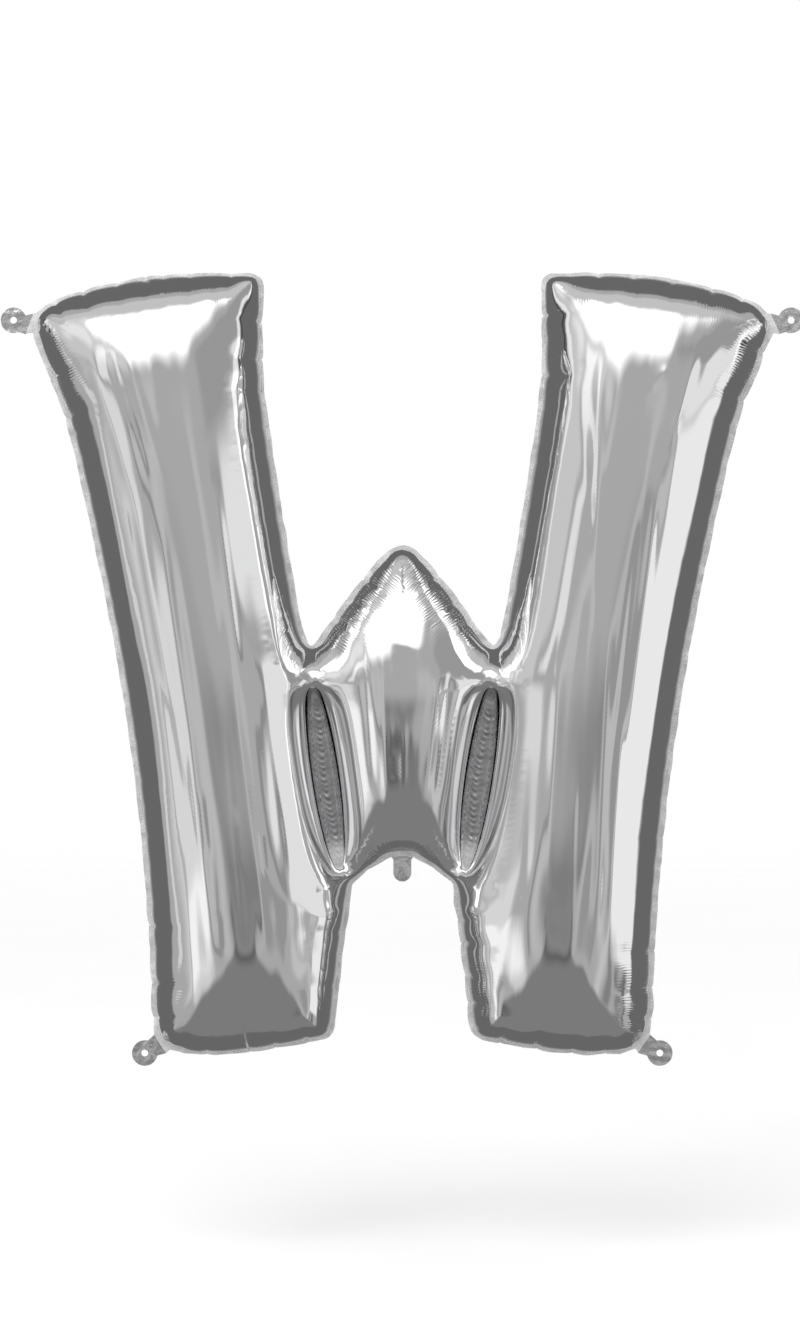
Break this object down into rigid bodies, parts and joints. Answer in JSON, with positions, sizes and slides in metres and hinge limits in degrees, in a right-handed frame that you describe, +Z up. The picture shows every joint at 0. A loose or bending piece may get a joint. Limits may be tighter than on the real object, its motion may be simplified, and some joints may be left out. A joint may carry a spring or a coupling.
{
  "type": "letter foil balloon",
  "caption": "Inflated silver foil balloon in the shape of the letter W, with welded slits, hanging tabs with eyes and a filling neck.",
  "frame": {"origin": "middle of the inflated envelope, in the plane of the weld, where the air it floats in carries it", "axes": "+X to the reader's right, +Y away from the reader, +Z up"},
  "size_m": [0.8634, 0.182, 0.8527],
  "materials": {
    "silver_foil": "mirror-bright metallised film, softly creased",
    "welded_foil": "heat-sealed metallised film with a fine quilted weld",
    "valve_plastic": "thin cloudy plastic film"
  },
  "bodies": {
    "envelope": {"front_film": "silver_foil", "back_film": "silver_foil", "edge_seal": "welded_foil", "left_slit_seal": "welded_foil", "right_slit_seal": "welded_foil"},
    "top_left_tab": {"tab_top_left": "welded_foil"},
    "top_right_tab": {"tab_top_right": "welded_foil"},
    "bottom_left_tab": {"tab_bottom_left": "welded_foil"},
    "bottom_right_tab": {"tab_bottom_right": "welded_foil"},
    "neck": {"filling_neck": "welded_foil", "valve_sleeve": "valve_plastic"}
  },
  "joints": [
    {"name": "top_left_tab_flex", "type": "hinge", "parent": "envelope", "child": "top_left_tab", "pos_m": [-0.40171, 0, 0.37052], "axis": [-0.3858, 0, -0.9226], "range_deg": [-75, 75], "stiffness_Nm_per_rad": 0.00005},
    {"name": "top_right_tab_flex", "type": "hinge", "parent": "envelope", "child": "top_right_tab", "pos_m": [0.40171, 0, 0.37052], "axis": [0.3858, 0, -0.9226], "range_deg": [-75, 75], "stiffness_Nm_per_rad": 0.00005},
    {"name": "bottom_left_tab_flex", "type": "hinge", "parent": "envelope", "child": "bottom_left_tab", "pos_m": [-0.26093, 0, -0.40454], "axis": [0.535, 0, -0.8449], "range_deg": [-75, 75], "stiffness_Nm_per_rad": 0.00005},
    {"name": "bottom_right_tab_flex", "type": "hinge", "parent": "envelope", "child": "bottom_right_tab", "pos_m": [0.26093, 0, -0.40454], "axis": [-0.535, 0, -0.8449], "range_deg": [-75, 75], "stiffness_Nm_per_rad": 0.00005},
    {"name": "neck_flex", "type": "hinge", "parent": "envelope", "child": "neck", "pos_m": [0, 0, -0.2065], "axis": [1, 0, 0], "range_deg": [-80, 80], "stiffness_Nm_per_rad": 0.00005}
  ]
}
